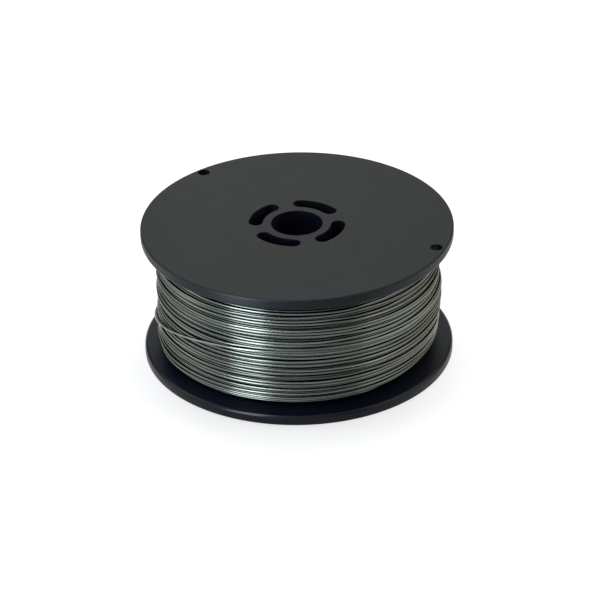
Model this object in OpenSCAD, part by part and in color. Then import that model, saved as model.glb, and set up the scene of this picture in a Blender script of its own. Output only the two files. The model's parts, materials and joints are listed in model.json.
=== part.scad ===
// Spool of flux-cored welding wire, standing on one flange.
// The origin is at the middle of the lower flange's outer face, and +Z runs along the bore.
// The spool is one moulding: two flanges, a barrel between them, a spindle bore down the middle
// and arc slots that run right through between the bore and the barrel.
// The wire is wound on the barrel turn beside turn, and one late turn crosses over the others.

/* [Flanges] */
// Diameter of both flanges
flange_d = 100; // [95:1:110]
// Thickness of each flange
flange_t = 3.5; // [2.5:0.1:5]
// Width of the spool, across the outer faces of its flanges
spool_w = 45; // [38:0.5:60]
// Radius of the rounded edges of each rim
rim_round = 0.7; // [0.3:0.1:1.1]

/* [Hub] */
// Diameter of the spindle bore
bore_d = 16.5; // [15:0.1:18]
// Bevel at both mouths of the bore
bore_bevel = 0.5; // [0.2:0.1:1]
// Thickness of the tube round the bore
hub_wall = 3.1; // [2:0.1:4]
// Thickness of the barrel wall outside the slots
barrel_wall = 3.2; // [2:0.1:5]

/* [Slots] */
// Number of arc slots round the bore
slot_count = 4; // [3:1:5]
// Width of a slot, along the radius
slot_w = 4; // [3:0.1:5]
// Width of the spoke that is left between two slots
spoke_w = 5.1; // [3:0.1:7]
// Direction of the middle of the first slot
slot_angle = 61; // [0:1:90]

/* [Wire anchor holes] */
// Diameter of the anchor holes in the upper flange
anchor_d = 3.5; // [2:0.1:4]
// Wall that is left between an anchor hole and the rim
anchor_wall = 1.1; // [0.8:0.1:2]
// Direction of the first anchor hole
anchor_angle_a = 130; // [0:1:359]
// Direction of the second anchor hole
anchor_angle_b = 338; // [0:1:359]

/* [Winding] */
// Diameter of the wire
wire_d = 0.9; // [0.8:0.1:1.2]
// Least gap between two turns side by side
turn_gap = 0.02; // [0.01:0.01:0.1]
// Depth of bare flange between the winding and the rim
bare_rim = 4.3; // [3:0.1:10]
// How much lower the winding lies where it meets a flange
shoulder_drop = 3.5; // [1:0.1:6]
// Width over which the winding rises from a flange to its full radius
shoulder_w = 5; // [3:0.1:8]
// Gap between the winding and the spool
seat_gap = 0.1; // [0.05:0.05:0.3]

/* [Crossing turn] */
// Direction in which the crossing turn stands highest
cross_angle = 197; // [0:1:359]
// Height of the crossing turn there
cross_z = 16.6; // [15:0.1:22]
// Slope of the crossing turn there, in degrees
cross_slope = 13; // [8:0.5:14]
// Angle that the crossing turn covers before it sinks among the others
cross_sweep = 128; // [90:1:130]
// Depth by which the crossing turn sits down between the crowns
cross_sink = 0.1; // [0.05:0.05:0.3]

/* [Hidden] */
$fn = 96;

// Points of the outline of each rounded rim edge
rim_steps = 6;
// Length by which a cut runs past the faces that it opens
past = 1;

flange_r = flange_d / 2;
bore_r = bore_d / 2;
slot_mid_r = bore_r + hub_wall + slot_w / 2;
barrel_r = slot_mid_r + slot_w / 2 + barrel_wall;
anchor_r = flange_r - anchor_wall - anchor_d / 2;

// Angle between the middles of the round ends of one slot
slot_sweep = 360 / slot_count - 2 * asin((spoke_w + slot_w) / 2 / slot_mid_r);

winding_r = flange_r - bare_rim;
winding_w = spool_w - 2 * (flange_t + seat_gap);
turn_count = floor(winding_w / (wire_d + turn_gap));
turn_pitch = winding_w / turn_count;
cross_r = winding_r + wire_d / 2 - cross_sink;

// Height of the middle of turn i
function turn_z(i) = flange_t + seat_gap + turn_pitch * (i + 0.5);

// Distance from height z to the nearer flange
function flange_near(z) = min(z - flange_t, spool_w - flange_t - z);

// Radius of the middle of turn i, lower in the shoulders beside the flanges
function turn_r(i) =
    winding_r - wire_d / 2
    - shoulder_drop * pow(max(0, 1 - flange_near(turn_z(i)) / shoulder_w), 2);

// Points of an arc about [x, y], from angle a to angle b
function arc(x, y, r, a, b) = [
    for (k = [0:rim_steps])
        let (t = a + (b - a) * k / rim_steps)
        [x + r * cos(t), y + r * sin(t)]
];

// Outline of one flange's rim: the two rounded edges of a flange whose lower face is at height z
function rim(z) = concat(
    arc(flange_r - rim_round, z + rim_round, rim_round, -90, 0),
    arc(flange_r - rim_round, z + flange_t - rim_round, rim_round, 0, 90)
);

// Half of the spool's section, from the bore out to the rims
module spool_section() {
    polygon(concat(
        [[bore_r, bore_bevel], [bore_r + bore_bevel, 0]],
        rim(0),
        [[barrel_r, flange_t], [barrel_r, spool_w - flange_t]],
        rim(spool_w - flange_t),
        [[bore_r + bore_bevel, spool_w], [bore_r, spool_w - bore_bevel]]
    ));
}

// One arc slot with round ends, about the direction +X
module slot() {
    translate([0, 0, -past]) {
        rotate([0, 0, -slot_sweep / 2])
            rotate_extrude(angle = slot_sweep)
                translate([slot_mid_r - slot_w / 2, 0])
                    square([slot_w, spool_w + 2 * past]);
        for (side = [-1, 1])
            rotate([0, 0, side * slot_sweep / 2])
                translate([slot_mid_r, 0, 0])
                    cylinder(d = slot_w, h = spool_w + 2 * past);
    }
}

// One anchor hole through the upper flange, in the direction a
module anchor_hole(a) {
    rotate([0, 0, a])
        translate([anchor_r, 0, spool_w - flange_t - past])
            cylinder(d = anchor_d, h = flange_t + 2 * past);
}

// Half of the winding's section: a core up to the grooves, and the round crown of each turn
module winding_section() {
    groove = wire_d / 4;
    last = turn_count - 1;
    polygon(concat(
        [[barrel_r + seat_gap, turn_z(0) - turn_pitch / 2]],
        [[turn_r(0) + groove, turn_z(0) - turn_pitch / 2]],
        [for (i = [0:last]) [turn_r(i) + groove, turn_z(i)]],
        [[turn_r(last) + groove, turn_z(last) + turn_pitch / 2]],
        [[barrel_r + seat_gap, turn_z(last) + turn_pitch / 2]]
    ));
    for (i = [0:last])
        translate([turn_r(i), turn_z(i)])
            circle(d = wire_d);
}

// The turn that climbs over the crowns of the others and sinks among them at both ends
module crossing_turn() {
    translate([0, 0, cross_z])
        rotate([0, 0, cross_angle])
            rotate([cross_slope, 0, 0])
                rotate([0, 0, -cross_sweep / 2])
                    rotate_extrude(angle = cross_sweep)
                        translate([cross_r, 0])
                            circle(d = wire_d);
}

module spool() {
    color("#1c1d1f")
        difference() {
            rotate_extrude()
                spool_section();
            for (k = [0:slot_count - 1])
                rotate([0, 0, slot_angle + 360 * k / slot_count])
                    slot();
            anchor_hole(anchor_angle_a);
            anchor_hole(anchor_angle_b);
        }
}

module wire_winding() {
    color("#8b8c88")
        union() {
            rotate_extrude()
                winding_section();
            crossing_turn();
        }
}

spool();
wire_winding();
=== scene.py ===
import json
import math
import random

import bpy
import numpy as np
from bpy.props import FloatProperty, FloatVectorProperty, IntProperty, PointerProperty
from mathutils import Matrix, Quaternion, Vector


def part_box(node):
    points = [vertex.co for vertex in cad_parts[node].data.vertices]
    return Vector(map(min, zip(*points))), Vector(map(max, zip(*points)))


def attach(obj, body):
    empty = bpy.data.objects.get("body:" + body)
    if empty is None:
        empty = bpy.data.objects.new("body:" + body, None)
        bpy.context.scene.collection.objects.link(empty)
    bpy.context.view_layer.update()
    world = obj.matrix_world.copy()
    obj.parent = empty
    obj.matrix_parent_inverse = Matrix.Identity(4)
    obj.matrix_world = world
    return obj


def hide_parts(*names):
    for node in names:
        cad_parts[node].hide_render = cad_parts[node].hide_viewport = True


bl_info = {
    "name": "Wire Spool",
    "version": (1, 0, 0),
    "blender": (4, 5, 0),
    "location": "3D View > Sidebar > Wire Spool",
    "description": "Moulds a plastic spool, winds it with steel wire and sets it on a lit stage",
    "category": "Object",
}

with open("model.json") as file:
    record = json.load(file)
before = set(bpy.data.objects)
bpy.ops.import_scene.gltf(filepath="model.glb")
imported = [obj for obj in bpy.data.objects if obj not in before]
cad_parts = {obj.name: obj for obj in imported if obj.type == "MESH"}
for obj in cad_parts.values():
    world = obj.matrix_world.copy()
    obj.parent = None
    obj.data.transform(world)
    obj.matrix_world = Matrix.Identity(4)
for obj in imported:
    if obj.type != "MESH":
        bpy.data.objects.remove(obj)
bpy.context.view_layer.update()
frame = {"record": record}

MM = 0.001
TURN = 2 * math.pi

# The frame's own sizes, from the spool's box, the winding's box and the spindle bore. The winding
# stands off the flanges by SEAT_GAP.
SPOOL_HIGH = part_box("spool")[1]
COIL_LOW, COIL_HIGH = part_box("wire_winding")
SPINDLE_BORE = next(m for m in frame["record"]["mounts"] if m["name"] == "spindle_bore")
SEAT_GAP = 0.1 * MM
FLANGE_R = SPOOL_HIGH.y
SPOOL_W = SPOOL_HIGH.z
FLANGE_T = COIL_LOW.z - SEAT_GAP
COIL_R = COIL_HIGH.x
BORE_R = SPINDLE_BORE["dims"]["r_mm"] * MM
MIDDLE = Vector((0, 0, SPOOL_W / 2))


# ---------------------------------------------------------------- settings

def length(name, description, default, low=0.0, high=1.0):
    """A length in metres, shown in the scene's unit."""
    return FloatProperty(
        name=name, description=description, default=default,
        min=low, max=high, subtype="DISTANCE", unit="LENGTH", precision=5,
    )


def angle(name, description, degrees):
    return FloatProperty(
        name=name, description=description, default=math.radians(degrees),
        subtype="ANGLE", unit="ROTATION",
    )


def share(name, description, default, high=1.0):
    return FloatProperty(
        name=name, description=description, default=default,
        min=0.0, max=high, subtype="FACTOR",
    )


def colour(name, description, default):
    return FloatVectorProperty(
        name=name, description=description, default=default,
        size=3, min=0.0, max=1.0, subtype="COLOR",
    )


class SpoolSettings(bpy.types.PropertyGroup):
    """Sizes and finish of the moulded spool"""

    rim_radius: length("Rim Radius", "Rounding of the rim edges", 0.7 * MM)
    wide_rim_radius: length("Wide Rim Radius", "Rounding of the lower rim's upper edge", 1.2 * MM)
    edge_radius: length("Edge Radius", "Rounding of the slot and hole edges", 0.18 * MM)
    mouth_radius: length("Mouth Radius", "Rounding of the bore's two mouths", 0.1 * MM)
    barrel_radius: length("Barrel Radius", "Radius of the barrel under the wire", 18.55 * MM)
    slot_radius: length("Slot Radius", "Distance from the axis to the middle of a slot", 13.2 * MM)
    slot_width: length("Slot Width", "Width of a slot along the radius", 4.6 * MM)
    spoke_width: length("Spoke Width", "Width of the spoke between two slots", 4.9 * MM)
    slot_angle: angle("Slot Angle", "Direction of the middle of the first slot", 61)
    slot_count: IntProperty(
        name="Slots", description="Number of arc slots round the bore", default=4, min=1, max=8,
    )
    anchor_radius: length("Anchor Hole Radius", "Radius of a wire anchor hole", 2.0 * MM)
    anchor_wall: length("Anchor Wall", "Wall between an anchor hole and the rim", 0.9 * MM)
    anchor_angle_a: angle("First Anchor Hole", "Direction of the first anchor hole", 130)
    anchor_angle_b: angle("Second Anchor Hole", "Direction of the second anchor hole", 338)
    steps: IntProperty(
        name="Steps", description="Sides of the spool's round walls", default=240, min=24, max=720,
    )
    # Painted light and shade: the upper side's colour is lighter and more neutral than the darker,
    # bluer plastic of the rest.
    plastic: colour("Plastic", "Colour of the plastic", (0.0004, 0.0012, 0.0066))
    lit_upper_plastic: colour(
        "Lit Plastic", "Colour of the handled upper side", (0.0062, 0.0074, 0.0098)
    )
    hub_plastic: colour(
        "Hub Plastic", "Colour of the plastic round the bore", (0.0040, 0.0036, 0.0104)
    )


class WireSettings(bpy.types.PropertyGroup):
    """Size, winding and finish of the wire"""

    diameter: length("Wire Diameter", "Diameter of the wire", 0.9 * MM)
    turns: IntProperty(
        name="Turns", description="Turns of the layer that shows", default=27, min=3, max=60,
    )
    steps: IntProperty(
        name="Steps per Turn", description="Points on one turn of the wire",
        default=144, min=24, max=360,
    )
    shoulder_drop: length("Shoulder Drop", "How much lower the winding is at a flange", 3.5 * MM)
    shoulder_width: length("Shoulder Width", "Width over which it rises", 5 * MM)
    bunching: share("Bunching", "How sharply touching turns and open gaps differ", 1.3, high=3.0)
    sink: length("Sink", "How far a turn drops where it has room on both sides", 0.22 * MM)
    layer_pitch: length("Layer Pitch", "Distance between two layers", 0.8 * MM)
    cross_start: angle("Crossing Start", "Where the crossing turn leaves its gap", -109)
    cross_sweep: angle("Crossing Sweep", "Angle over which it crosses the others", 110)
    cross_high: length("Crossing Upper End", "Height at which it leaves its gap", 23.9 * MM)
    cross_low: length("Crossing Lower End", "Height at which it sinks into the next gap", 9.0 * MM)
    cross_slack: length("Crossing Slack", "How far it stands off the others halfway", 0.1 * MM)
    seed: IntProperty(name="Seed", description="Choice of the uneven gaps", default=4, min=0)
    # The wire's colour on its crowns, and the darker colour painted on its sides in the grooves, as
    # painted shade.
    steel: colour("Steel", "Colour of the wire's worn crowns", (0.165, 0.175, 0.158))
    groove_shade: colour("Grime", "Colour of the drawing soap in the grooves", (0.02, 0.021, 0.021))


class StageSettings(bpy.types.PropertyGroup):
    """Camera, floor and lights"""

    lens: FloatProperty(
        name="Lens", description="Focal length", default=186.3, unit="CAMERA", min=10, max=400,
    )
    distance: length("Distance", "From the camera to the middle of the spool", 1.001, high=5.0)
    elevation: angle("Elevation", "Height of the camera above the horizon", 29.52)
    roll: angle("Roll", "Turn of the camera about its view", 0.97)
    aim_right: length("Aim Right", "How far to the right of the spool's middle it aims", 0.57 * MM)
    aim_drop: length("Aim Drop", "How far below the spool's middle it aims", 5.05 * MM)
    floor_grey: share("Floor", "How much of the light that falls on it the floor sends back", 0.5)
    floor_glow: share("Floor Glow", "Brightness of the floor in full shadow", 0.7)
    sky_light: colour(
        "Sky Light", "Light that the open sky sheds on matte things", (0.16, 0.18, 0.21)
    )
    overhead: FloatProperty(
        name="Overhead Power", description="Power of the overhead lamp", default=12.0, unit="POWER",
    )
    sides: FloatProperty(
        name="Side Power", description="Power of each lamp at the sides", default=2.0, unit="POWER",
    )
    surround: FloatProperty(
        name="Surround", description="Brightness of the ring that the wire and the rims mirror",
        default=1.0, min=0.0, max=20.0,
    )


# ---------------------------------------------------------------- shader maths

class Channel:
    """One socket of a node tree. Arithmetic on it adds Math nodes."""

    def __init__(self, graph, socket):
        self.graph = graph
        self.socket = socket

    def math(self, operation, *terms, clamp=False):
        settings = {"operation": operation, "use_clamp": clamp}
        return self.graph.add("ShaderNodeMath", settings, dict(enumerate(terms)))

    def __add__(self, other):
        return self.math("ADD", self, other)

    __radd__ = __add__

    def __sub__(self, other):
        return self.math("SUBTRACT", self, other)

    def __rsub__(self, other):
        return self.math("SUBTRACT", other, self)

    def __mul__(self, other):
        return self.math("MULTIPLY", self, other)

    __rmul__ = __mul__

    def __truediv__(self, other):
        return self.math("DIVIDE", self, other)

    def __pow__(self, other):
        return self.math("POWER", self, other)

    def smooth(self, low, high):
        """0 below low, 1 above high, and an S curve between them."""
        inputs = {"Value": self, "From Min": low, "From Max": high, "To Min": 0.0, "To Max": 1.0}
        return self.graph.add("ShaderNodeMapRange", {"interpolation_type": "SMOOTHSTEP"}, inputs)


class Graph:
    """The node tree of one material or world, emptied and ready for new nodes."""

    def __init__(self, tree):
        self.tree = tree
        tree.nodes.clear()

    def add(self, kind, settings=None, inputs=None, output=0):
        """Adds a node: its settings first, then the value or link of each socket."""
        node = self.tree.nodes.new(kind)
        for key, value in (settings or {}).items():
            setattr(node, key, value)
        for key, value in (inputs or {}).items():
            if isinstance(value, Channel):
                self.tree.links.new(value.socket, node.inputs[key])
            else:
                node.inputs[key].default_value = value
        return Channel(self, node.outputs[output]) if node.outputs else node

    def mix(self, factor, first, second, blend="MIX"):
        """A colour from first, at factor 0, to its blend with second, at factor 1."""
        colours = [c if isinstance(c, Channel) else (*c, 1.0) for c in (first, second)]
        settings = {"data_type": "RGBA", "blend_type": blend, "clamp_factor": True}
        inputs = {0: factor, 6: colours[0], 7: colours[1]}
        return self.add("ShaderNodeMix", settings, inputs, output=2)

    def noise(self, vector, scale, detail=2.0, roughness=0.5):
        inputs = {"Vector": vector, "Scale": scale, "Detail": detail, "Roughness": roughness}
        return self.add("ShaderNodeTexNoise", {"noise_dimensions": "3D"}, inputs)

    def stretched(self, vector, scale):
        """The vector with each of its axes scaled."""
        inputs = {"Vector": vector, "Scale": scale}
        return self.add("ShaderNodeMapping", {"vector_type": "POINT"}, inputs)

    def place(self):
        """The place on the piece, and its x, y and z."""
        place = self.add("ShaderNodeTexCoord", None, None, output="Object")
        inputs = {"Vector": place}
        axes = [self.add("ShaderNodeSeparateXYZ", None, inputs, output=k) for k in range(3)]
        return place, *axes

    def bump(self, height, distance, strength):
        inputs = {"Height": height, "Distance": distance, "Strength": strength}
        return self.add("ShaderNodeBump", None, inputs)

    def principled(self, **values):
        inputs = {key.replace("_", " "): value for key, value in values.items()}
        shader = self.add("ShaderNodeBsdfPrincipled", None, inputs)
        self.add("ShaderNodeOutputMaterial", None, {"Surface": shader})


def new_material(name):
    material = bpy.data.materials.new(name)
    material.use_nodes = True
    return material, Graph(material.node_tree)


def black_plastic(settings):
    """Moulded black plastic with a fine grain and faint flow marks.

    The upper side is painted lighter and more neutral, as painted light, and the rest darker and
    bluer, as painted shade. The upper side has a few scratches, the rims are rubbed a little paler,
    and their walls and rounded edges are smoother, apart from the upper edge of the upper rim.
    """
    material, g = new_material("black_plastic")
    place, x, y, z = g.place()
    radius = (x * x + y * y) ** 0.5
    facing = g.add("ShaderNodeTexCoord", None, None, output="Normal")
    up = g.add("ShaderNodeSeparateXYZ", None, {"Vector": facing}, output=2)
    grain = g.noise(place, 5200.0, detail=2.0)
    cloud = g.noise(place, 38.0, detail=3.0)
    flow = g.noise(g.stretched(place, (1.0, 1.0, 3.0)), 140.0, detail=4.0, roughness=0.6)
    scratch_field = g.stretched(place, (3.0, 0.12, 1.0))
    scratches = g.noise(scratch_field, 900.0, detail=1.0).smooth(0.71, 0.78)
    rim = radius.smooth(FLANGE_R - 1.2 * MM, FLANGE_R - 0.5 * MM)
    rubbed = rim * cloud.smooth(0.35, 0.7)
    lit = tuple(settings.lit_upper_plastic)
    pale = tuple(2.1 * c for c in lit)
    # Painted light and shade: the upper side takes the lighter, more neutral colour, and the rest
    # keeps the darker, bluer one.
    upper_side = z.smooth(SPOOL_W - FLANGE_T, SPOOL_W - 0.5 * FLANGE_T)
    tone = g.mix(upper_side, tuple(settings.plastic), lit)
    tone = g.mix(cloud.smooth(0.3, 0.75) * 0.1, tone, pale)
    tone = g.mix(rubbed * 0.45, tone, pale)
    hub = radius.smooth(15.5 * MM, 12 * MM) * z.smooth(0.5 * SPOOL_W, SPOOL_W)
    tone = g.mix(hub * (0.6 + 0.4 * cloud), tone, tuple(settings.hub_plastic))
    tone = g.mix(scratches * 0.25, tone, pale)
    wall = rim * up.smooth(0.5, 0.1) * up.smooth(-0.5, -0.1)
    lower_flange = z.smooth(0.6 * SPOOL_W, 0.4 * SPOOL_W)
    edges = rim * (up.smooth(0.1, 0.5) * lower_flange + up.smooth(-0.1, -0.5))
    roughness = 0.37 + 0.10 * flow + 0.06 * cloud - 0.06 * wall - 0.24 * edges
    height = grain * 0.7 + flow * 0.3
    g.principled(
        Base_Color=tone, Roughness=roughness, IOR=1.5,
        Specular_IOR_Level=0.205, Normal=g.bump(height, 0.012 * MM, 0.6),
    )
    return material


def drawn_steel(name, settings, shade):
    """Drawn wire: streaks along the wire, and painted shade in the grooves between the turns, while
    the crowns keep the steel's colour.

    Turns that stand off their layer are painted brighter, as painted light. shade scales both
    colours: below 1 it paints a layer darker, as painted shade.
    """
    material, g = new_material(name)
    crown = g.add("ShaderNodeAttribute", {"attribute_name": "crown"}, None, output="Fac")
    proud = g.add("ShaderNodeAttribute", {"attribute_name": "proud"}, None, output="Fac")
    strand = g.add("ShaderNodeAttribute", {"attribute_name": "strand"}, None, output="Vector")
    place = g.add("ShaderNodeTexCoord", None, None, output="Object")
    streaks = g.noise(g.stretched(strand, (0.012, 1.0, 1.0)), 9000.0, detail=3.0, roughness=0.6)
    tone = g.noise(g.stretched(strand, (1.0, 0.0, 0.0)), 14.0, detail=3.0, roughness=0.6)
    patches = g.noise(place, 420.0, detail=3.0)
    lit = crown.smooth(0.1, 0.9)
    bright = tone.smooth(0.33, 0.67) * 0.7 + streaks.smooth(0.3, 0.7) * 0.2 + patches * 0.1
    # Painted light: a turn that stands off its layer is painted brighter.
    bright = bright + proud.smooth(-0.9, 1.1) * 0.7
    steel = tuple(shade * c for c in settings.steel)
    base = g.mix(bright * 0.7, tuple(0.35 * c for c in steel), tuple(1.55 * c for c in steel))
    # Painted shade: the wire's sides that face its neighbours and the axis take the groove colour,
    # and only the crowns keep the steel's.
    base = g.mix(lit, tuple(shade * c for c in settings.groove_shade), base)
    roughness = 0.25 - 0.05 * lit + 0.10 * patches - 0.06 * streaks
    g.principled(
        Base_Color=base, Metallic=1.0, Roughness=roughness,
        Normal=g.bump(streaks, 0.006 * MM, 0.5),
    )
    return material


# ---------------------------------------------------------------- modelling helpers

# Vertices that are closer than this become one.
MERGE_DISTANCE = 0.002 * MM


def deselect_all():
    if bpy.context.mode != "OBJECT":
        bpy.ops.object.mode_set(mode="OBJECT")
    bpy.ops.object.select_all(action="DESELECT")


def trace(name, points):
    """A new mesh object, in edit mode, that holds one chain of vertices through the points."""
    deselect_all()
    bpy.ops.mesh.primitive_plane_add(size=MM)
    piece = bpy.context.object
    piece.name = piece.data.name = name
    bpy.ops.object.mode_set(mode="EDIT")
    bpy.ops.mesh.select_mode(type="VERT")
    bpy.ops.mesh.merge(type="CENTER")
    bpy.ops.transform.translate(value=points[0])
    for here, there in zip(points, points[1:]):
        bpy.ops.mesh.extrude_vertices_move(TRANSFORM_OT_translate={"value": there - here})
    bpy.ops.mesh.select_all(action="SELECT")
    return piece


def arc(centre_x, centre_z, radius, start, end, steps):
    """Points of an arc in the XZ plane, with its angles in degrees."""
    angles = [math.radians(start + (end - start) * k / steps) for k in range(steps + 1)]
    return [
        Vector((centre_x + radius * math.cos(a), 0, centre_z + radius * math.sin(a)))
        for a in angles
    ]


def lathe(steps):
    """Turns the chain that is being edited about the Z axis and closes the mesh."""
    bpy.ops.mesh.spin(steps=steps, angle=TURN, center=(0, 0, 0), axis=(0, 0, 1))
    bpy.ops.mesh.select_all(action="SELECT")
    bpy.ops.mesh.remove_doubles(threshold=MERGE_DISTANCE)
    bpy.ops.mesh.normals_make_consistent(inside=False)
    bpy.ops.object.mode_set(mode="OBJECT")


def prism(name, outline, bottom, top):
    """An upright solid over a closed outline of (x, y) points."""
    points = [Vector((x, y, bottom)) for x, y in outline]
    piece = trace(name, points)
    bpy.ops.mesh.edge_face_add()
    bpy.ops.mesh.extrude_region_move(TRANSFORM_OT_translate={"value": (0, 0, top - bottom)})
    bpy.ops.mesh.select_all(action="SELECT")
    bpy.ops.mesh.normals_make_consistent(inside=False)
    bpy.ops.object.mode_set(mode="OBJECT")
    return piece


def apply_modifier(piece, kind, **settings):
    deselect_all()
    bpy.context.view_layer.objects.active = piece
    piece.select_set(True)
    bpy.ops.object.modifier_add(type=kind)
    modifier = piece.modifiers[-1]
    for key, value in settings.items():
        setattr(modifier, key, value)
    bpy.ops.object.modifier_apply(modifier=modifier.name)


def order_by_place(mesh):
    """Lists the vertices and faces by place, because a cut leaves them in any order.

    The steps that come after it depend on the order, and then come out the same each run.
    """
    places = [tuple(vertex.co) for vertex in mesh.vertices]
    order = sorted(range(len(places)), key=places.__getitem__)
    rank = {vertex: k for k, vertex in enumerate(order)}
    faces = []
    for face in mesh.polygons:
        corners = [rank[vertex] for vertex in face.vertices]
        first = corners.index(min(corners))
        faces.append(corners[first:] + corners[:first])
    mesh.clear_geometry()
    mesh.from_pydata([places[vertex] for vertex in order], [], sorted(faces))


def finish_piece(piece, material, node):
    """Gives a piece its material and its place in the frame."""
    piece.data.materials.clear()
    piece.data.materials.append(material)
    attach(piece, "root")
    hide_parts(node)


# ---------------------------------------------------------------- spool

# How many flat steps make up a rounded edge of a rim, of the bore's mouths and of the cuts, and
# the round wall of an anchor hole, the sweep of a slot and one of its round ends.
RIM_STEPS = 7
MOUTH_STEPS = 3
EDGE_STEPS = 3
HOLE_STEPS = 40
SLOT_STEPS = 24
SLOT_END_STEPS = 12

# How far a cut runs past the faces that it opens.
PAST = MM

# Faces at a smaller angle than FLAT are one face, and edges sharper than SHARP get rounded.
FLAT = math.radians(0.3)
SHARP = math.radians(40)


def rim_section(bottom, low_radius, high_radius):
    """The two rounded edges of the flange whose lower face is at the height bottom."""
    top = bottom + FLANGE_T
    low = arc(FLANGE_R - low_radius, bottom + low_radius, low_radius, -90, 0, RIM_STEPS)
    high = arc(FLANGE_R - high_radius, top - high_radius, high_radius, 0, 90, RIM_STEPS)
    return low + high


def spool_section(settings):
    """Half of the spool's section, as a closed chain of points that starts and ends in the bore."""
    mouth = settings.mouth_radius
    ceiling = SPOOL_W - FLANGE_T
    points = arc(BORE_R + mouth, mouth, mouth, 180, 270, MOUTH_STEPS)
    points += rim_section(0.0, settings.rim_radius, settings.wide_rim_radius)
    points += [Vector((settings.barrel_radius, 0, z)) for z in (FLANGE_T, ceiling)]
    points += rim_section(ceiling, settings.rim_radius, settings.rim_radius)
    points += arc(BORE_R + mouth, SPOOL_W - mouth, mouth, 90, 180, MOUTH_STEPS)
    return points + points[:1]


def slot_outline(settings, middle):
    """Outline of one arc slot with round ends, about the direction middle."""
    r = settings.slot_radius
    half_width = settings.slot_width / 2
    reach = (settings.slot_width + settings.spoke_width) / 2
    half_sweep = TURN / settings.slot_count / 2 - math.asin(reach / r)
    points = []
    for side, half_turn in ((1, 0), (-1, 1)):
        radius = r + side * half_width
        for k in range(SLOT_STEPS + 1):
            a = middle + side * half_sweep * (2 * k / SLOT_STEPS - 1)
            points.append((radius * math.cos(a), radius * math.sin(a)))
        end = middle + side * half_sweep
        x, y = r * math.cos(end), r * math.sin(end)
        for k in range(1, SLOT_END_STEPS):
            a = end + math.pi * (k / SLOT_END_STEPS + half_turn)
            points.append((x + half_width * math.cos(a), y + half_width * math.sin(a)))
    return points


def circle_outline(x, y, radius, steps):
    angles = [TURN * k / steps for k in range(steps)]
    return [(x + radius * math.cos(a), y + radius * math.sin(a)) for a in angles]


def slot_and_hole_cutter(settings):
    """One object that holds the solids to be cut away: the slots and the anchor holes."""
    cutters = []
    for k in range(settings.slot_count):
        outline = slot_outline(settings, settings.slot_angle + TURN * k / settings.slot_count)
        cutters.append(prism(f"slot_cutter_{k}", outline, -PAST, SPOOL_W + PAST))
    anchor_at = FLANGE_R - settings.anchor_wall - settings.anchor_radius
    for name in ("anchor_angle_a", "anchor_angle_b"):
        a = getattr(settings, name)
        x, y = anchor_at * math.cos(a), anchor_at * math.sin(a)
        outline = circle_outline(x, y, settings.anchor_radius, HOLE_STEPS)
        cutters.append(prism(f"{name}_cutter", outline, SPOOL_W / 2, SPOOL_W + PAST))
    deselect_all()
    for cutter in cutters:
        cutter.select_set(True)
    bpy.context.view_layer.objects.active = cutters[0]
    bpy.ops.object.join()
    return bpy.context.object


class SPOOL_OT_mould_spool(bpy.types.Operator):
    """Lathe the spool's section, cut the slots and holes through it and round their edges"""

    bl_idname = "wire_spool.mould_spool"
    bl_label = "Mould Spool"
    bl_options = {"REGISTER", "UNDO"}

    def execute(self, context):
        settings = context.scene.wire_spool
        spool = trace("spool_moulding", spool_section(settings))
        lathe(settings.steps)
        cutter = slot_and_hole_cutter(settings)
        apply_modifier(spool, "BOOLEAN", object=cutter, operation="DIFFERENCE", solver="EXACT")
        order_by_place(spool.data)
        deselect_all()
        cutter.select_set(True)
        bpy.ops.object.delete()
        deselect_all()
        spool.select_set(True)
        bpy.context.view_layer.objects.active = spool
        bpy.ops.object.mode_set(mode="EDIT")
        bpy.ops.mesh.select_all(action="SELECT")
        bpy.ops.mesh.remove_doubles(threshold=MERGE_DISTANCE)
        bpy.ops.mesh.dissolve_limited(angle_limit=FLAT)
        bpy.ops.mesh.select_mode(type="EDGE")
        bpy.ops.mesh.select_all(action="DESELECT")
        bpy.ops.mesh.edges_select_sharp(sharpness=SHARP)
        bpy.ops.mesh.bevel(
            offset=settings.edge_radius, segments=EDGE_STEPS, profile=0.5, clamp_overlap=True
        )
        bpy.ops.object.mode_set(mode="OBJECT")
        bpy.ops.object.shade_smooth_by_angle(angle=SHARP)
        apply_modifier(spool, "WEIGHTED_NORMAL", keep_sharp=True, weight=80)
        finish_piece(spool, black_plastic(settings), "spool")
        return {"FINISHED"}


# ---------------------------------------------------------------- winding

# Where the outer turns have slipped apart: height in mm, direction and reach to either side
# in degrees, and extra width in mm.
WIDE_GAPS = (
    (36.3, -150, 38, 1.10),
    (33.5, -145, 28, 0.70),
    (31.8, -142, 30, 0.45),
    (26.5, -150, 42, 1.40),
    (22.2, -150, 24, 0.50),
    (14.4, -138, 42, 0.50),
    (11.0, -145, 36, 1.20),
    (8.6, -138, 32, 0.45),
    (37.1, -36, 34, 1.10),
    (35.0, -32, 44, 1.60),
    (33.0, -26, 30, 1.30),
    (31.2, -28, 32, 1.10),
    (29.3, -42, 32, 0.65),
    (26.4, -36, 48, 2.60),
    (23.6, -60, 42, 0.35),
    (19.7, -45, 32, 0.45),
    (17.3, -48, 54, 3.00),
    (15.4, -78, 22, 0.65),
    (14.2, -30, 34, 2.00),
    (10.3, -45, 30, 1.10),
    (8.3, -58, 28, 0.45),
)

# How many more have done so on the far side, and the limits of their four values.
FAR_GAPS = 22
FAR_LIMITS = ((5, 40), (10, 170), (22, 50), (0.45, 1.1))

# Where the winding stands higher or lower: height in mm and reach up and down, direction and
# reach to either side in degrees, and rise in mm.
BULGES = (
    (21.0, 8.5, 0, 34, 0.95),
    (4.5, 7.0, -150, 46, 0.90),
    (4.5, 9.0, -32, 46, -1.00),
)

# Where the turns lie further apart: the same, with the extra width of the gaps as a share.
LOOSE_PLACES = (
    (36.0, 10.0, -30, 60, 0.60),
)

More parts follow.
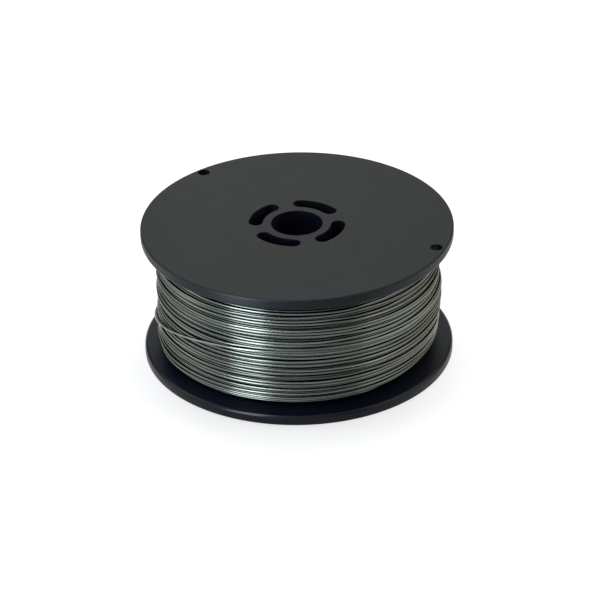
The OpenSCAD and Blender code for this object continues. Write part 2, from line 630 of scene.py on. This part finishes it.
# Direction of the spool's back, where a turn starts.
BACK = math.pi / 2

# Points along a layer's section.
SECTION_POINTS = 800

# How the width of a gap wanders along the wire: in turns, the length of its slow and of its
# quick changes, and the share of the quick ones. The last is the share of the narrowest gap.
SLOW_CHANGE = 0.8
QUICK_CHANGE = 0.27
QUICK_SHARE = 0.45
LEAST_GAP = 0.04

# How many gaps on each side give room to a wider one, how fast that dies away and how often it
# is evened out, and the width of an ordinary gap.
GAP_REACH = 4
GAP_FALLOFF = 0.45 * GAP_REACH
LEVELLINGS = 4
MEAN_GAP = 0.3 * MM

# How many of the uppermost gaps are narrow, because the turns lean on the upper flange, and what
# share of their width they keep.
CLOSE_GAPS = 2
CLOSE_SHARE = 0.35

# The inner layer: what is added to the seed, and how much darker its wire is painted than the outer
# one's, as painted shade.
INNER_SEED = 100
INNER_PAINTED_SHADE = 0.45

# Room beside a turn that lets it sink all the way.
SINK_ROOM = 0.5 * MM

# How uneven the wire lies: depth and length, in turns, of its long waves and of its kinks.
WAVE_DEPTH = 0.1 * MM
WAVE_LENGTH = 0.3
KINK_DEPTH = 0.08 * MM
KINK_LENGTH = 0.045

# The part of a turn over which the hidden ends of a wire dip under its layer: one in so many.
DIP_PART = 10
CROSSING_DIP_PART = 20

# The crossing turn: the angle over which its two gaps open, how far they reach past the ends of
# the crossing, and where they end at the back. The turn itself runs between CROSSING_ENDS, and
# there it dips by a share of the wire's diameter.
CROSSING_RAMP = math.radians(20)
CROSSING_MARGIN = 0.6 * CROSSING_RAMP
UPPER_GAP_END = math.radians(45)
LOWER_GAP_END = math.radians(105)
CROSSING_ENDS = (math.radians(38), math.radians(108))
CROSSING_DIP = 0.6

# How many steps on each side the taut wire of the crossing turn bridges.
TAUT_STEPS = 3


def smoothstep(t):
    t = np.clip(t, 0, 1)
    return t * t * (3 - 2 * t)


def smooth_noise(rng, places, spacing):
    """Smooth random values at the places, from random values that lie spacing apart."""
    knots = np.array([rng.gauss(0, 1) for _ in range(int(places.max() / spacing) + 3)])
    index = np.floor(places / spacing).astype(int)
    part = smoothstep(places / spacing - index)
    return knots[index] * (1 - part) + knots[index + 1] * part


def local_extra(places, theta, z):
    """What the listed places add at the directions theta and heights z, less near their ends."""
    total = np.zeros(z.shape)
    for height, tall, direction, reach, extra in places:
        aside = np.abs((np.degrees(theta) - direction + 180) % 360 - 180)
        near = smoothstep(1 - np.abs(z / MM - height) / tall) * smoothstep(1 - aside / reach)
        total += extra * near
    return total


class CoilSurface:
    """The surface that the middles of a layer's turns lie on, lower beside the flanges.

    Along its section, the distance s runs from the lower flange to the upper one.
    """

    def __init__(self, wire, depth=0.0):
        margin = wire.diameter / 2
        z = np.linspace(COIL_LOW.z + margin, COIL_HIGH.z - margin, SECTION_POINTS)
        near = np.minimum(z - FLANGE_T, SPOOL_W - FLANGE_T - z)
        fall = np.maximum(0, 1 - near / wire.shoulder_width)
        r = COIL_R - margin - wire.shoulder_drop * fall ** 2
        dz, dr = np.gradient(z), np.gradient(r)
        step = np.hypot(dz, dr)
        self.r = r - depth * dz / step
        self.z = np.clip(z + depth * dr / step, z[0], z[-1])
        travel = np.hypot(np.diff(self.r), np.diff(self.z))
        self.s = np.concatenate([[0], np.cumsum(travel)])
        self.width = self.s[-1]

    def path(self, theta, s, lift):
        """Points in the directions theta, at the distances s and raised by lift."""
        z = np.interp(s, self.s, self.z)
        r = np.interp(s, self.s, self.r) + lift + MM * local_extra(BULGES, theta, z)
        return np.column_stack([r * np.cos(theta), r * np.sin(theta), z])

    def at_height(self, z):
        return np.interp(z, self.z, self.s)


class Layer:
    """A helix of turns side by side, with a row for each turn and a column for each step of it.

    The columns start at the back. What the turns leave free of the width is shared out among
    the gaps between them. A gap takes its width from the gaps near it, so that a turn lies
    level although its gaps widen and narrow, and no two turns overlap.
    """

    def __init__(self, wire, rng, surface, turns, steps):
        self.diameter = wire.diameter
        self.surface = surface
        self.turns = turns
        self.steps = steps
        u = np.arange((turns - 1) * steps) / steps
        noise = smooth_noise(rng, u, SLOW_CHANGE) + QUICK_SHARE * smooth_noise(rng, u, QUICK_CHANGE)
        weight = LEAST_GAP + smoothstep(0.5 + wire.bunching * noise)
        weight = weight.reshape(turns - 1, steps)
        self.weight = weight / weight.mean()

    def column(self, theta):
        return (theta - BACK) / TURN % 1 * self.steps

    def direction(self, columns):
        return BACK + TURN * columns / self.steps

    def levelled(self):
        """The weights of the gaps, each as a share of those near it."""
        reach = np.arange(-GAP_REACH, GAP_REACH + 1)
        kernel = np.exp(-(reach / GAP_FALLOFF) ** 2)
        weight = self.weight
        for _ in range(LEVELLINGS):
            padded = np.pad(weight, ((GAP_REACH, GAP_REACH), (0, 0)), mode="reflect")
            near = sum(k * padded[j:j + len(weight)] for j, k in enumerate(kernel)) / kernel.sum()
            weight = weight / near
        return weight

    def heights(self):
        """The distance s of every turn at every step."""
        free = self.surface.width - self.turns * self.diameter
        pitch = self.surface.width / self.turns
        columns = np.arange(self.steps)
        place = pitch * (np.arange(1, self.turns)[:, None] + columns / self.steps)
        z = np.interp(place, self.surface.s, self.surface.z)
        weight = self.levelled()
        weight[-CLOSE_GAPS:] *= CLOSE_SHARE
        weight *= 1 + local_extra(LOOSE_PLACES, self.direction(columns), z)
        gaps = free * (1 - 1 / self.turns) * weight / weight.sum(0)
        first = pitch * columns / self.steps
        rise = np.cumsum(self.diameter + gaps, axis=0)
        return first + np.vstack([np.zeros(self.steps), rise])

    def open_gap(self, z, at, start, end, ramp, extra):
        """Widens the gap that is nearest to height z in the direction at, from start to end."""
        s = self.heights()[:, round(self.column(at))]
        row = int(np.argmin(np.abs((s[:-1] + s[1:]) / 2 - self.surface.at_height(z))))
        columns = np.arange(self.steps)
        rise = (columns - self.column(start)) / self.steps * TURN / ramp
        fall = (self.column(end) - columns) / self.steps * TURN / ramp
        self.weight[row] += extra / MEAN_GAP * smoothstep(rise) * smoothstep(fall)
        return row


def far_gaps(rng):
    """Wide gaps at random on the far side, with the same four values as those in WIDE_GAPS."""
    return tuple(tuple(rng.uniform(*limits) for limits in FAR_LIMITS) for _ in range(FAR_GAPS))


def winding_mesh(name, paths, lifts, wire, steps, resolution):
    """A mesh of round wires along the paths, with closed ends and its lie noted on it.

    lifts holds how far each point of a path stands off its layer, and steps is the number of
    points on a turn.
    """
    curve = bpy.data.curves.new(name, "CURVE")
    curve.dimensions = "3D"
    curve.twist_mode = "Z_UP"
    curve.bevel_depth = wire.diameter / 2
    curve.bevel_resolution = resolution
    for path in paths:
        spline = curve.splines.new("POLY")
        spline.points.add(len(path) - 1)
        spline.points.foreach_set("co", np.column_stack([path, np.ones(len(path))]).ravel())
    piece = bpy.data.objects.new(name, curve)
    bpy.context.scene.collection.objects.link(piece)
    deselect_all()
    piece.select_set(True)
    bpy.context.view_layer.objects.active = piece
    bpy.ops.object.convert(target="MESH")
    piece = bpy.context.object
    sides = 4 + 2 * resolution
    note_lie(piece.data, paths, lifts, wire.diameter / 2, sides)
    lay_out_map(piece.data, sides, steps)
    bpy.ops.object.mode_set(mode="EDIT")
    bpy.ops.mesh.select_mode(type="EDGE")
    bpy.ops.mesh.select_all(action="DESELECT")
    bpy.ops.mesh.select_non_manifold()
    bpy.ops.mesh.edge_face_add()
    bpy.ops.mesh.select_all(action="SELECT")
    bpy.ops.mesh.normals_make_consistent(inside=False)
    bpy.ops.object.mode_set(mode="OBJECT")
    return piece


def note_lie(mesh, paths, lifts, wire_r, sides):
    """Notes how the wire lies at each vertex, for its material.

    The attribute crown is 1 where the surface faces away from the spool's axis and -1 where
    it faces the axis. proud says how far the wire stands off its layer, as a share of its
    radius. strand holds the distance along the wire and round it.
    """
    places = np.empty(len(mesh.vertices) * 3, np.float32)
    mesh.vertices.foreach_get("co", places)
    middles = np.repeat(np.vstack(paths), sides, axis=0)
    arm = (places.reshape(-1, 3) - middles) / wire_r
    outward = middles[:, :2] / np.linalg.norm(middles[:, :2], axis=1, keepdims=True)
    crown = (arm[:, :2] * outward).sum(1)
    proud = np.repeat(np.concatenate(lifts) / wire_r, sides)
    steps = [np.linalg.norm(np.diff(path, axis=0, prepend=path[:1]), axis=1) for path in paths]
    along = np.repeat(np.cumsum(np.concatenate(steps)), sides)
    strand = np.column_stack([along, wire_r * np.arctan2(arm[:, 2], crown), np.zeros(len(along))])
    for name, kind, key, values in (
        ("crown", "FLOAT", "value", crown),
        ("proud", "FLOAT", "value", proud),
        ("strand", "FLOAT_VECTOR", "vector", strand.ravel()),
    ):
        mesh.attributes.new(name, kind, "POINT").data.foreach_set(key, values)


def lay_out_map(mesh, sides, steps):
    """The UV map OFBake: one row for each turn, as wide as the map.

    A face that closes the wire's round runs from its last side to one past it.
    """
    while mesh.uv_layers:
        mesh.uv_layers.remove(mesh.uv_layers[0])
    corners = np.empty(len(mesh.loops), int)
    mesh.loops.foreach_get("vertex_index", corners)
    ring, side = np.divmod(corners.reshape(-1, 4), sides)
    first = ring.min(1, keepdims=True)
    row = first // steps
    closing = side.max(1, keepdims=True) == sides - 1
    side = np.where((side == 0) & closing, sides, side)
    uv = np.stack([(ring - row * steps) / steps, (row + side / sides) / (row.max() + 1)], axis=2)
    mesh.uv_layers.new(name="OFBake").data.foreach_set("uv", uv.astype(np.float32).ravel())


def end_dip(count, reach, depth):
    """A lift that falls to -depth over the first and the last reach points."""
    i = np.arange(count)
    return -depth * (1 - smoothstep(np.minimum(i, count - 1 - i) / reach))


def crossing_path(wire, layer, lift, upper, lower):
    """The turn that lies in the gap upper, crosses the crowns and sinks into the gap lower.

    lift holds how far the turns that it crosses stand off their layer.
    """
    d = wire.diameter
    s = layer.heights()
    start = layer.column(wire.cross_start)
    sweep = wire.cross_sweep / TURN * layer.steps
    first, last = (round(layer.column(a)) for a in CROSSING_ENDS)
    columns = np.arange(first, last, -1)
    # How far it has crossed, from 0 in the upper gap to 1 in the lower one.
    crossed = smoothstep((start - columns) / sweep)
    middle = (s[:-1] + s[1:])[:, columns] / 2
    half_gap = np.diff(s, axis=0)[:, columns] / 2
    along = (1 - crossed) * middle[upper] + crossed * middle[lower]
    # How high the turns below hold it up, and how deep it lies where it has a gap to itself.
    away = np.abs(along - s[:, columns])
    rest = np.sqrt(np.maximum(0, d * d - away ** 2)) + lift[:, columns]
    crest = np.maximum(0, np.where(away < d, rest, 0).max(0))
    between = np.where(crossed < 0.5, half_gap[upper], half_gap[lower])
    sunk = -np.sqrt(np.maximum(0, d * d - between ** 2))
    crest += wire.cross_slack * np.sin(np.pi * crossed)
    height = np.where((crossed > 0) & (crossed < 1), crest, sunk)
    # The wire is taut, so it bridges the dips between the crowns and bends softly.
    span = 2 * TAUT_STEPS + 1
    padded = np.pad(height, TAUT_STEPS, mode="edge")
    height = np.max([padded[k:k + len(height)] for k in range(span)], axis=0)
    kernel = np.hanning(span + 2)[1:-1]
    padded = np.pad(height, TAUT_STEPS, mode="edge")
    height = np.convolve(padded, kernel / kernel.sum(), mode="valid")
    height += end_dip(len(height), layer.steps / CROSSING_DIP_PART, CROSSING_DIP * d)
    return layer.surface.path(layer.direction(columns), along, height), height


class SPOOL_OT_wind_inner_layer(bpy.types.Operator):
    """Wind the close layer that shows in the gaps of the outer one"""

    bl_idname = "wire_spool.wind_inner_layer"
    bl_label = "Wind Inner Layer"
    bl_options = {"REGISTER", "UNDO"}

    def execute(self, context):
        wire = context.scene.wire_winding
        rng = random.Random(wire.seed + INNER_SEED)
        surface = CoilSurface(wire, wire.layer_pitch)
        turns = int(surface.width / wire.diameter) - 1
        # Two thirds of the steps are enough, as this layer shows in gaps alone.
        steps = wire.steps * 2 // 3
        layer = Layer(wire, rng, surface, turns, steps)
        s = surface.width - layer.heights().ravel()
        theta = layer.direction(np.arange(len(s)))
        lift = end_dip(len(s), steps / DIP_PART, wire.layer_pitch)
        path = surface.path(theta, s, lift)
        piece = winding_mesh("wire_inner_layer", [path], [lift], wire, steps, resolution=2)
        # The inner layer's copy of the steel is painted darker, as shade.
        steel = drawn_steel("drawn_steel_inner", wire, INNER_PAINTED_SHADE)
        finish_piece(piece, steel, "wire_winding")
        return {"FINISHED"}


class SPOOL_OT_wind_outer_layer(bpy.types.Operator):
    """Wind the uneven layer that shows, with the turn that crosses over it"""

    bl_idname = "wire_spool.wind_outer_layer"
    bl_label = "Wind Outer Layer"
    bl_options = {"REGISTER", "UNDO"}

    def execute(self, context):
        wire = context.scene.wire_winding
        rng = random.Random(wire.seed)
        surface = CoilSurface(wire)
        layer = Layer(wire, rng, surface, wire.turns, wire.steps)
        leave, enter = wire.cross_start, wire.cross_start - wire.cross_sweep
        upper = layer.open_gap(
            wire.cross_high, leave, leave - CROSSING_MARGIN, UPPER_GAP_END,
            CROSSING_RAMP, wire.diameter,
        )
        lower = layer.open_gap(
            wire.cross_low, enter, LOWER_GAP_END, enter + CROSSING_MARGIN,
            CROSSING_RAMP, wire.diameter,
        )
        for height, direction, reach, extra in WIDE_GAPS + far_gaps(rng):
            at, reach = math.radians(direction), math.radians(reach)
            layer.open_gap(height * MM, at, at - reach, at + reach, reach, extra * MM)
        s = layer.heights()
        gaps = np.diff(s, axis=0) - wire.diameter
        room = np.minimum(np.vstack([gaps[:1], gaps]), np.vstack([gaps, gaps[-1:]]))
        u = np.arange(s.size) / wire.steps
        lift = -wire.sink * smoothstep(room.ravel() / SINK_ROOM)
        lift -= WAVE_DEPTH * np.abs(smooth_noise(rng, u, WAVE_LENGTH))
        lift += KINK_DEPTH * smooth_noise(rng, u, KINK_LENGTH) - KINK_DEPTH
        lift += end_dip(s.size, wire.steps / DIP_PART, wire.layer_pitch)
        helix = surface.path(layer.direction(np.arange(s.size)), s.ravel(), lift)
        crossing, rise = crossing_path(wire, layer, lift.reshape(s.shape), upper, lower)
        piece = winding_mesh(
            "wire_outer_layer", [helix, crossing], [lift, rise], wire, wire.steps, resolution=4
        )
        steel = drawn_steel("drawn_steel_outer", wire, 1.0)
        finish_piece(piece, steel, "wire_winding")
        return {"FINISHED"}


# ---------------------------------------------------------------- stage

def seen_rays(graph):
    """1 for a ray from the camera or from a mirror or glass surface, otherwise 0."""
    rays = [graph.add("ShaderNodeLightPath", None, None, output=k)
            for k in ("Is Camera Ray", "Is Glossy Ray", "Is Transmission Ray")]
    return rays[0].math("ADD", rays[0] + rays[1], rays[2], clamp=True)


def floor_material(settings):
    """A pale floor that reads as white where nothing shades it, and keeps the shadow."""
    material, g = new_material("stage_floor")
    grey = settings.floor_grey
    matte = g.add("ShaderNodeBsdfDiffuse", None, {"Color": (grey, grey, grey, 1.0)})
    glow = g.add("ShaderNodeEmission", None, {"Strength": seen_rays(g) * settings.floor_glow})
    total = g.add("ShaderNodeAddShader", None, {0: matte, 1: glow})
    g.add("ShaderNodeOutputMaterial", None, {"Surface": total})
    return material


# Glow of the surround in each direction: azimuth in degrees, and red, green and blue.
SURROUND = (
    (-180, (1.62, 1.62, 1.62)),
    (-168, (1.95, 1.95, 1.97)),
    (-158, (1.38, 1.46, 1.48)),
    (-148, (0.84, 1.01, 1.14)),
    (-134, (1.00, 1.17, 1.29)),
    (-131, (8.8, 10.1, 10.7)),
    (-114, (8.8, 10.1, 10.7)),
    (-111, (1.10, 1.30, 1.40)),
    (-95, (0.84, 0.94, 1.04)),
    (-80, (0.63, 0.68, 0.76)),
    (-65, (0.46, 0.50, 0.50)),
    (-50, (0.40, 0.43, 0.42)),
    (-47, (1.38, 1.40, 1.36)),
    (-32, (1.41, 1.44, 1.38)),
    (-12, (1.28, 1.32, 1.19)),
    (9, (0.73, 0.73, 0.57)),
    (22, (0.36, 0.36, 0.26)),
    (35, (0.18, 0.18, 0.11)),
    (48, (0.70, 0.70, 0.65)),
    (65, (0.93, 0.96, 0.85)),
    (115, (1.05, 1.07, 0.96)),
    (132, (0.75, 0.75, 0.72)),
    (150, (0.16, 0.17, 0.14)),
    (160, (0.27, 0.28, 0.24)),
    (171, (0.84, 0.88, 0.82)),
)

# Glow of the room, and the heights between which the surround comes to it. Above the spool it is
# no darker than the room, and at its foot no brighter.
ROOM_TINT = (0.92, 0.92, 0.88)
ABOVE = (70 * MM, 115 * MM)
FOOT = (18 * MM, 9 * MM)

# Radius, upper edge and sides of the surround.
SURROUND_R = 110 * MM
SURROUND_TOP = 200 * MM
SURROUND_SIDES = 96

# The lamps: name, azimuth and elevation in degrees, distance, width and height in metres, the
# setting that holds the power, and the tint.
LAMPS = (
    ("overhead", 90, 72, 1.3, 0.9, 0.9, "overhead", (1.0, 1.0, 1.0)),
    ("left_lamp", 168, 20, 0.9, 0.6, 0.5, "sides", (1.0, 1.0, 1.0)),
    ("right_lamp", -5, 20, 0.9, 0.6, 0.5, "sides", (1.0, 0.97, 0.84)),
)

FLOOR_SIZE = 8.0


def surround_material(settings):
    """Glows as strongly as SURROUND says in each direction, and like the room above and below."""
    material, g = new_material("stage_surround")
    material.cycles.emission_sampling = "NONE"
    _, x, y, z = g.place()
    around = y.math("ARCTAN2", y, x) / TURN + 0.5
    ramp = g.add("ShaderNodeValToRGB", None, {"Fac": around})
    stops = ramp.socket.node.color_ramp
    stops.elements.remove(stops.elements[1])
    peak = max(max(tint) for _, tint in SURROUND)
    for k, (azimuth, tint) in enumerate(SURROUND):
        at = azimuth / 360 + 0.5
        stop = stops.elements[0] if k == 0 else stops.elements.new(at)
        stop.position = at
        stop.color = (*(c / peak for c in tint), 1.0)
    room = tuple(c / peak for c in ROOM_TINT)
    tint = g.mix(z.smooth(*ABOVE), ramp, room, blend="LIGHTEN")
    tint = g.mix(z.smooth(*FOOT), tint, room, blend="DARKEN")
    glow = g.add("ShaderNodeEmission", None, {"Color": tint, "Strength": peak * settings.surround})
    g.add("ShaderNodeOutputMaterial", None, {"Surface": glow})
    return material


def toward(azimuth, elevation, distance):
    """A place at the distance from the middle of the spool. The angles are in degrees."""
    a, e = math.radians(azimuth), math.radians(elevation)
    away = Vector((math.cos(e) * math.cos(a), math.cos(e) * math.sin(a), math.sin(e)))
    return MIDDLE + distance * away


def add_softbox(name, azimuth, elevation, distance, width, height, power, tint):
    """A rectangular lamp that faces the middle of the spool."""
    deselect_all()
    place = toward(azimuth, elevation, distance)
    bpy.ops.object.light_add(type="AREA", location=place)
    lamp = bpy.context.object
    lamp.name = lamp.data.name = name
    lamp.data.shape = "RECTANGLE"
    lamp.data.size = width
    lamp.data.size_y = height
    lamp.data.energy = power
    lamp.data.color = tint
    lamp.visible_camera = False
    lamp.visible_glossy = False
    lamp.rotation_euler = (MIDDLE - place).to_track_quat("-Z", "Y").to_euler()


def add_surround(settings):
    """A glowing ring round the spool, in place of soft boxes, that only reflections show."""
    surround = trace(
        "surround", [Vector((SURROUND_R, 0, MM)), Vector((SURROUND_R, 0, SURROUND_TOP))]
    )
    lathe(SURROUND_SIDES)
    surround.data.materials.append(surround_material(settings))
    surround.visible_camera = False
    surround.visible_diffuse = False
    surround.visible_shadow = False


def add_floor(settings):
    deselect_all()
    bpy.ops.mesh.primitive_plane_add(size=FLOOR_SIZE)
    floor = bpy.context.object
    floor.name = floor.data.name = "floor"
    floor.data.materials.append(floor_material(settings))


def add_sky(scene, settings):
    """A world that is white where it is seen, and sheds the light of the open sky."""
    scene.world = bpy.data.worlds.new("studio")
    scene.world.use_nodes = True
    g = Graph(scene.world.node_tree)
    sky = g.mix(seen_rays(g), tuple(settings.sky_light), (1, 1, 1))
    background = g.add("ShaderNodeBackground", None, {"Color": sky, "Strength": 1.0})
    g.add("ShaderNodeOutputWorld", None, {"Surface": background})


def add_camera(scene, settings):
    """A camera before the spool's front that looks down at it."""
    e = settings.elevation
    up_in_view = Vector((0, math.sin(e), math.cos(e)))
    aim = MIDDLE + Vector((settings.aim_right, 0, 0)) - settings.aim_drop * up_in_view
    place = MIDDLE + settings.distance * Vector((0, -math.cos(e), math.sin(e)))
    deselect_all()
    bpy.ops.object.camera_add(location=place)
    camera = bpy.context.object
    camera.name = camera.data.name = "camera"
    camera.data.lens = settings.lens
    camera.data.sensor_width = 36.0
    camera.rotation_mode = "QUATERNION"
    level = (aim - place).to_track_quat("-Z", "Y")
    camera.rotation_quaternion = level @ Quaternion((0, 0, 1), -settings.roll)
    scene.camera = camera


class SPOOL_OT_set_stage(bpy.types.Operator):
    """Add the floor, the sky, the lamps, the glowing surround and the camera"""

    bl_idname = "wire_spool.set_stage"
    bl_label = "Set Stage"
    bl_options = {"REGISTER", "UNDO"}

    def execute(self, context):
        scene = context.scene
        settings = scene.wire_stage
        add_floor(settings)
        add_sky(scene, settings)
        for *place_and_size, power, tint in LAMPS:
            add_softbox(*place_and_size, getattr(settings, power), tint)
        add_surround(settings)
        add_camera(scene, settings)
        scene.view_settings.view_transform = "Standard"
        return {"FINISHED"}


class SPOOL_PT_panel(bpy.types.Panel):
    """Lists the steps that build the spool"""

    bl_idname = "SPOOL_PT_panel"
    bl_label = "Wire Spool"
    bl_space_type = "VIEW_3D"
    bl_region_type = "UI"
    bl_category = "Wire Spool"

    def draw(self, context):
        scene = context.scene
        for group in (scene.wire_spool, scene.wire_winding, scene.wire_stage):
            column = self.layout.box().column(align=True)
            for name in group.__annotations__:
                column.prop(group, name)
        for operator in OPERATORS:
            self.layout.operator(operator.bl_idname)


OPERATORS = (
    SPOOL_OT_mould_spool, SPOOL_OT_wind_inner_layer, SPOOL_OT_wind_outer_layer, SPOOL_OT_set_stage,
)
CLASSES = (SpoolSettings, WireSettings, StageSettings, *OPERATORS, SPOOL_PT_panel)


def register():
    for kind in CLASSES:
        bpy.utils.register_class(kind)
    bpy.types.Scene.wire_spool = PointerProperty(type=SpoolSettings)
    bpy.types.Scene.wire_winding = PointerProperty(type=WireSettings)
    bpy.types.Scene.wire_stage = PointerProperty(type=StageSettings)


def unregister():
    for name in ("wire_spool", "wire_winding", "wire_stage"):
        delattr(bpy.types.Scene, name)
    for kind in reversed(CLASSES):
        bpy.utils.unregister_class(kind)


def main():
    register()
    bpy.ops.wire_spool.mould_spool()
    bpy.ops.wire_spool.wind_inner_layer()
    bpy.ops.wire_spool.wind_outer_layer()
    bpy.ops.wire_spool.set_stage()


if __name__ == "__main__":
    main()
